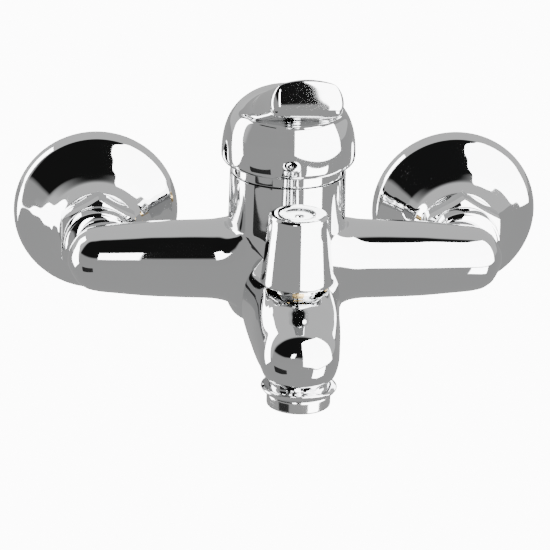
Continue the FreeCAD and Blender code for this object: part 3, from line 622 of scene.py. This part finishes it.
@dataclass
class Handle:
    """Domed handle with a broad lever rising forward out of its crown."""

    sides: int = 24
    levels: int = 3
    tilt: float = 20.0
    spread: float = 75.0
    front_slope: float = 11.0
    rise: float = 0.9
    root: float = 71.0
    dome_radius: float = 27.0
    dome_low: float = 42.4
    dome_rise: float = 31.0
    shares: tuple[float, ...] = (0.26, 0.42, 0.58, 0.73, 0.86, 0.96)

    def along(self, distance: float, lift: float) -> Vector:
        """A point on the lever's middle plane: forward along it and square above it."""
        angle = math.radians(self.tilt)
        return spot(0, REACH + distance * math.cos(angle) - lift * math.sin(angle),
                    self.root + distance * math.sin(angle) + lift * math.cos(angle))

    def skin(self, height: float) -> float:
        """Radius of the dome's outside at a height, both in millimetres."""
        share = (height - self.dome_low) / self.dome_rise
        return self.dome_radius * math.sqrt(max(0.0, 1 - share ** 3))

    def build(self) -> None:
        """Grow the dome, its hollow and the lever, then dress the piece."""
        low, rise, radius = self.dome_low, self.dome_rise, self.dome_radius

        def wall(share: float, less: float) -> tuple[float, float, float]:
            """Radius, height and sharpness of the dome at a share of its rise."""
            return ((radius - less) * math.sqrt(1 - share ** 3), low + (rise - less) * share, 0.0)

        rows = [wall(share, 2.4) for share in (0.97, 0.9, 0.75, 0.55, 0.3)]
        rows += [(24.6, 44.5, 0.0), (24.7, 42.4, 1.0), (25.9, 42.4, 0.5), (26.9, 43.6, 0.2),
                 (27.0, 46.0, 0.0)]
        rows += [wall(share, 0.0) for share in self.shares]
        bench = Bench("handle_shell", (rows[0][0] * MM * ring_gain(self.sides), rows[0][1] * MM),
                      spot(0, REACH, 0), self.sides)
        bench.close()
        bench.turn(rows)
        bench.close()
        self.upright_front(bench, low + rise * self.shares[0], low + rise * self.shares[-1])
        self.lever(bench, wall(self.shares[3], 0.0)[1], wall(self.shares[-1], 0.0)[1])
        dress(bench.done(self.levels), Coat.CHROME, "lever", "chrome_plated_brass", "handle")

    def upright_front(self, bench: Bench, low: float, high: float) -> None:
        """Draw the front of the dome out to a steep face under the lever.

        Args:
            bench: the mesh being edited.
            low: height where the steep face starts.
            high: height above which the dome stays as it is.
        """
        axis = spot(0, REACH, 0)
        mesh = bench.mesh()
        for vert in mesh.verts:
            offset = vert.co - axis
            reach = math.hypot(offset.x, offset.y)
            height = vert.co.z / MM - AXIS_UP
            shell = self.skin(height) - 1.3
            if offset.y >= 0 or not low - 0.1 < height < high - 0.1 or reach < shell * MM:
                continue
            lean = max(0.0, height - 54.0) * math.tan(math.radians(self.front_slope))
            steep = (27.0 * ring_gain(self.sides) - lean) * MM
            share = max(0.0, -offset.y / reach) ** 1.5
            stretch = 1 + share * (max(steep, reach) / reach - 1)
            vert.co.x, vert.co.y = axis.x + offset.x * stretch, axis.y + offset.y * stretch
        bmesh.update_edit_mesh(bench.obj.data)

    def lever(self, bench: Bench, foot: float, crown: float) -> None:
        """Broad arched lever out of the dome's front and crown.

        Args:
            bench: the mesh being edited.
            foot: height where its underside leaves the dome.
            crown: height where its top leaves the dome.
        """
        axis = spot(0, REACH, 0)
        low, high = spot(0, 0, foot).z, spot(0, 0, crown).z

        def bearing(place: Vector, _across: float = 0.0, _up: float = 0.0) -> float:
            """Angle round the dome from the front."""
            return math.atan2(place.x - axis.x, axis.y - place.y)

        def on_front(point: Vector) -> bool:
            """True for a face on the upper front of the dome's skin."""
            shell = math.hypot(point.x - axis.x, point.y - axis.y)
            outer = self.skin(point.z / MM - AXIS_UP)
            return (abs(bearing(point)) < math.radians(self.spread) and low < point.z < high
                    and shell > (outer - 1.6) * MM)

        bench.pick(on_front, bearing, lambda place, _across, _up: place.z)
        angle = math.radians(self.tilt)
        line = Vector((0, -math.cos(angle), math.sin(angle)))
        # distance along the lever, half width, thickness, corner radius, arch, bulge
        rows = [(31.0, 17.6, 8.6, 3.8, 5.2, 0), (42.0, 16.4, 9.0, 3.8, 4.8, 0),
                (56.0, 15.3, 9.4, 3.8, 4.4, 0), (70.0, 14.5, 9.9, 3.8, 4.0, 0),
                (79.0, 14.2, 10.3, 3.8, 3.8, 0), (82.9, 14.0, 10.5, 3.8, 3.8, 0),
                (84.9, 11.4, 9.8, 1.5, 1.6, 0.15)]
        bench.tube([Station(self.along(distance, self.rise - thick / 2 - arch),
                            (half * MM, thick / 2 * MM),
                            line, X, (corner * MM, corner * MM), arch=arch * MM, bulge=bulge * MM)
                    for distance, half, thick, corner, arch, bulge in rows])


@dataclass
class HexNut:
    """Union nut: a hexagon with its corners turned back, and its cavity."""

    side_name: str
    sign: int
    flats: float = 30.0
    start: float = 25.8
    end: float = 38.6
    edge: float = 0.35

    def build(self) -> None:
        """Cut a turned blank down to six flats and break the edges."""
        corner, slope = self.flats / 2 / math.cos(math.radians(30)) + 1.0, 1.9
        face = self.flats / 2 - 0.3
        rows = [(13.3, self.start), (face, self.start), (corner, self.start + slope),
                (corner, self.end - slope), (face, self.end), (10.0, self.end), (10.0, 35.6),
                (13.3, 35.6), (13.3, self.start)]
        bench = Bench(f"union_hex_{self.side_name}", (rows[0][0] * MM, rows[0][1] * MM),
                      Vector(), 96)
        bench.turn([(radius, height, 0.0) for radius, height in rows])
        bpy.ops.mesh.select_all(action="SELECT")
        bpy.ops.mesh.remove_doubles(threshold=1e-6)
        nut = bench.done(0)
        bpy.ops.mesh.primitive_cylinder_add(
            vertices=6, radius=self.flats / 2 / math.cos(math.radians(30)) * MM,
            depth=0.05, location=(0, 0, (self.start + self.end) / 2 * MM))
        hexagon = bpy.context.object
        bpy.ops.object.select_all(action="DESELECT")
        nut.select_set(True)
        bpy.context.view_layer.objects.active = nut
        cut = nut.modifiers.new("flats", "BOOLEAN")
        cut.operation, cut.object, cut.solver = "INTERSECT", hexagon, "EXACT"
        bpy.ops.object.modifier_apply(modifier="flats")
        bpy.data.objects.remove(hexagon)
        bevel = nut.modifiers.new("edges", "BEVEL")
        bevel.width = self.edge * MM
        bevel.segments = 3
        bevel.limit_method = "ANGLE"
        bevel.angle_limit = math.radians(15)
        bevel.harden_normals = True
        bpy.ops.object.modifier_apply(modifier="edges")
        nut.rotation_euler = (math.radians(90), 0, 0)
        nut.location = spot(75.0 * self.sign, 0, 0)
        bpy.ops.object.transform_apply(location=True, rotation=True, scale=True)
        bpy.ops.object.shade_smooth_by_angle(angle=math.radians(30))
        dress(nut, Coat.CHROME, "fixed", "chrome_plated_brass", f"union_nut_{self.side_name}")


def turned_pieces() -> list[Turned]:
    """Every plated piece that comes off the lathe.

    Returns:
        The pieces, ready to build.
    """
    pieces = []
    for side_name, sign in (("left", -1), ("right", 1)):
        pieces.append(Turned(
            f"flange_{side_name}", f"wall_flange_{side_name}",
            [(33.0, 0.0, 1), (34.2, 0.0, 1), (34.2, 1.1, 0.4), (33.5, 3.6, 0), (32.8, 5.3, 0),
             (31.7, 6.6, 0), (27.2, 10.9, 0), (22.6, 15.7, 0), (18.7, 20.6, 0), (16.3, 24.5, 0),
             (15.7, 25.35, 0.8), (13.7, 25.35, 1), (13.7, 24.2, 1), (15.0, 24.0, 0.5),
             (21.4, 15.0, 0), (30.6, 5.8, 0)],
            spot(INLET_HALF * sign, 0, 0), outward=True))
    pieces.append(Turned(
        "ring_trim", "bonnet_ring",
        [(21.6, 37.6, 1), (22.6, 37.6, 0.8), (23.0, 38.0, 0.8), (23.0, 42.4, 0.7),
         (22.5, 42.95, 0.8), (20.1, 42.95, 1), (20.1, 41.15, 1), (21.6, 41.15, 1)],
        spot(0, REACH, 0)))
    pieces.append(Turned(
        "diverter_cap", "diverter_knob",
        [(3.05, 17.0, 1), (11.4, 17.0, 1), (12.3, 11.3, 1), (14.1, 11.3, 0.8), (14.4, 11.7, 0.7),
         (13.2, 22.5, 0), (12.2, 31.5, 0), (11.75, 36.6, 0), (11.55, 38.3, 0), (10.9, 39.2, 0),
         (9.6, 39.35, 0), (7.6, 39.2, 0), (6.6, 39.0, 0.2), (5.4, 38.4, 0.2), (3.0, 38.25, 0),
         (0.5, 38.2, 0), (0.5, 29.5, 1), (3.05, 29.5, 1)],
        spot(0, KNOB_OUT, 0), body="diverter"))
    pieces.append(Turned(
        "aerator_shell", "aerator_ring",
        [(9.1, -31.6, 0.8), (11.6, -31.6, 0.4), (12.5, -31.2, 0.4), (12.5, -27.0, 0.4),
         (12.2, -26.4, 0.8), (11.75, -26.3, 1), (11.75, -20.7, 1), (10.0, -20.7, 1),
         (10.0, -30.6, 1), (9.1, -30.6, 1)],
        spot(0, NOSE_OUT, 0), coat=Coat.SATIN, slot="satin_chrome"))
    return pieces


CAD_COATS = {
    "raw_brass": Coat.BRASS, "spindle_brass": Coat.BRASS, "black_rubber": Coat.RUBBER,
    "white_plastic": Coat.PLASTIC, "white_ceramic": Coat.CERAMIC, "stainless_steel": Coat.STEEL,
    "satin_chrome": Coat.SATIN, "black_plastic": Coat.BLACK, "chrome_plated_brass": Coat.CHROME,
}


def dress_frame() -> None:
    """Give every carried-over CAD node the finish of its slot."""
    for part in frame["record"]["subparts"]:
        node = frame["nodes"][part["node"]]
        node.data.materials.clear()
        node.data.materials.append(CAD_COATS[part["material_slot"]].value.make())


# ------------------------------------------------------------------------------ studio
@dataclass
class Studio:
    """Camera, pale floor and soft lights."""

    eye: Vector = field(default_factory=lambda: spot(-126.41, 1573.0, 553.23))
    azimuth: float = -4.79
    elevation: float = 20.26
    roll: float = 1.59
    lens: float = 261.3
    shift: tuple[float, float] = (-0.0199, 0.0)
    floor_height: float = -0.42
    card_bearing: float = -50.0
    card_height: float = -0.30
    card_distance: float = 0.75
    card_size: tuple[float, float] = (0.50, 0.20)

    def build(self) -> None:
        """Set up the camera, the surroundings and the lights."""
        self.camera()
        self.surroundings()
        self.floor()
        self.softbox("soft_right", (51.0, 0.90), 0.90, (1.80, 2.20), 14.0)
        self.softbox("soft_low_right", (47.0, -0.275), 0.60, (0.42, 0.25), 14.0)
        self.softbox("soft_left", (-113.0, 0.22), 0.90, (0.42, 1.10), 14.0, roll=25.0)
        self.softbox("soft_tip", (-17.0, 0.36), 0.90, (0.20, 0.36), 14.0)
        self.dark_card()

    def camera(self) -> None:
        """Long-lens camera a little to the left and above."""
        data = bpy.data.cameras.new("camera")
        data.lens = self.lens
        data.sensor_width = 36.0
        data.shift_x, data.shift_y = self.shift
        data.clip_start, data.clip_end = 0.1, 30.0
        cam = bpy.data.objects.new("camera", data)
        bpy.context.scene.collection.objects.link(cam)
        a, e, r = (math.radians(v) for v in (self.azimuth, self.elevation, self.roll))
        back = Vector((math.sin(a) * math.cos(e), -math.cos(a) * math.cos(e), math.sin(e)))
        cam.location = self.eye
        cam.rotation_mode = "QUATERNION"
        cam.rotation_quaternion = ((-back).to_track_quat("-Z", "Y")
                                   @ Quaternion((0, 0, 1), r))
        bpy.context.scene.camera = cam

    def surroundings(self) -> None:
        """Room: pale behind the wall, dark above the front."""
        world = bpy.data.worlds.new("room")
        bpy.context.scene.world = world
        world.use_nodes = True
        nodes = Nodes(world.node_tree)
        place = nodes.add("ShaderNodeTexCoord", output="Generated")
        depth = nodes.add("ShaderNodeSeparateXYZ", inputs={"Vector": place}, output="Y")
        height = nodes.add("ShaderNodeSeparateXYZ", inputs={"Vector": place}, output="Z")
        back = nodes.add("ShaderNodeMapRange", inputs={
            "Value": depth, "From Min": -0.10, "From Max": 0.02, "To Min": 0.0, "To Max": 1.0})
        low = nodes.add("ShaderNodeMapRange", inputs={
            "Value": height, "From Min": 0.20, "From Max": 0.28, "To Min": 1.0, "To Max": 0.0})
        front = DARK + low * (LOW_GREY - 0.02)
        shown = nodes.add("ShaderNodeLightPath", output="Is Camera Ray")
        level = (front + back * (BACK_GREY - front)) * (1 - shown) + shown * WHITE
        nodes.end("ShaderNodeOutputWorld", "Surface",
                  nodes.add("ShaderNodeBackground", inputs={"Color": grey(1.0), "Strength": level}))

    def floor(self) -> None:
        """Large pale floor well below the mixer."""
        bpy.ops.object.select_all(action="DESELECT")
        bpy.ops.mesh.primitive_plane_add(size=16.0, location=(0, 0, self.floor_height))
        floor = bpy.context.object
        floor.name = "pale_floor"
        mat = bpy.data.materials.new("pale_floor")
        mat.use_nodes = True
        nodes = Nodes(mat.node_tree)
        shown = nodes.add("ShaderNodeLightPath", output="Is Camera Ray")
        level = LOW_GREY + shown * (WHITE - LOW_GREY)
        nodes.end("ShaderNodeOutputMaterial", "Surface", nodes.add(
            "ShaderNodeEmission", inputs={"Color": grey(1.0), "Strength": level}))
        floor.data.materials.append(mat)

    def softbox(self, name: str, place: tuple[float, float], distance: float,
                size: tuple[float, float], level: float, roll: float = 0.0) -> None:
        """Upright rectangular soft light facing the mixer.

        Args:
            name: the light's name.
            place: degrees round from straight in front, and height in metres.
            distance: how far it stands from the body's axis.
            size: width and height.
            level: how bright its face is.
            roll: degrees turned in its own plane.
        """
        data = bpy.data.lights.new(name, "AREA")
        data.shape = "RECTANGLE"
        data.size, data.size_y = size
        data.energy = level * math.pi * size[0] * size[1]
        light = bpy.data.objects.new(name, data)
        out = self.bearing(place[0])
        light.location = spot(0, REACH, 0) + out * distance + Z * place[1]
        light.rotation_mode = "QUATERNION"
        light.rotation_quaternion = ((-out).to_track_quat("-Z", "Y")
                                     @ Quaternion((0, 0, 1), math.radians(roll)))
        bpy.context.scene.collection.objects.link(light)

    @staticmethod
    def bearing(degrees: float) -> Vector:
        """Level direction so many degrees round from straight in front."""
        angle = math.radians(degrees)
        return Vector((math.sin(angle), -math.cos(angle), 0.0))

    def dark_card(self) -> None:
        """Low black card at the left that draws the dark line down the barrel."""
        bpy.ops.object.select_all(action="DESELECT")
        out = self.bearing(self.card_bearing)
        bpy.ops.mesh.primitive_plane_add(
            size=1.0, location=out * self.card_distance + Z * self.card_height,
            rotation=(math.radians(90), 0, math.radians(self.card_bearing)))
        card = bpy.context.object
        card.name = "dark_card"
        card.scale = (*self.card_size, 1.0)
        bpy.ops.object.transform_apply(location=True, rotation=True, scale=True)
        mat = bpy.data.materials.new("dark_card")
        mat.use_nodes = True
        nodes = Nodes(mat.node_tree)
        nodes.end("ShaderNodeOutputMaterial", "Surface", nodes.add(
            "ShaderNodeBsdfDiffuse", inputs={"Color": grey(DARK)}))
        card.data.materials.append(mat)


def main() -> None:
    """Build the mixer's pieces in order and set the studio round them."""
    logging.basicConfig(level=logging.INFO, format="%(message)s")
    Studio().build()
    dress_frame()
    CastBody().build()
    Handle().build()
    for side_name, sign in (("left", -1), ("right", 1)):
        HexNut(side_name, sign).build()
    for piece in turned_pieces():
        piece.build()


if __name__ == "__main__":
    main()
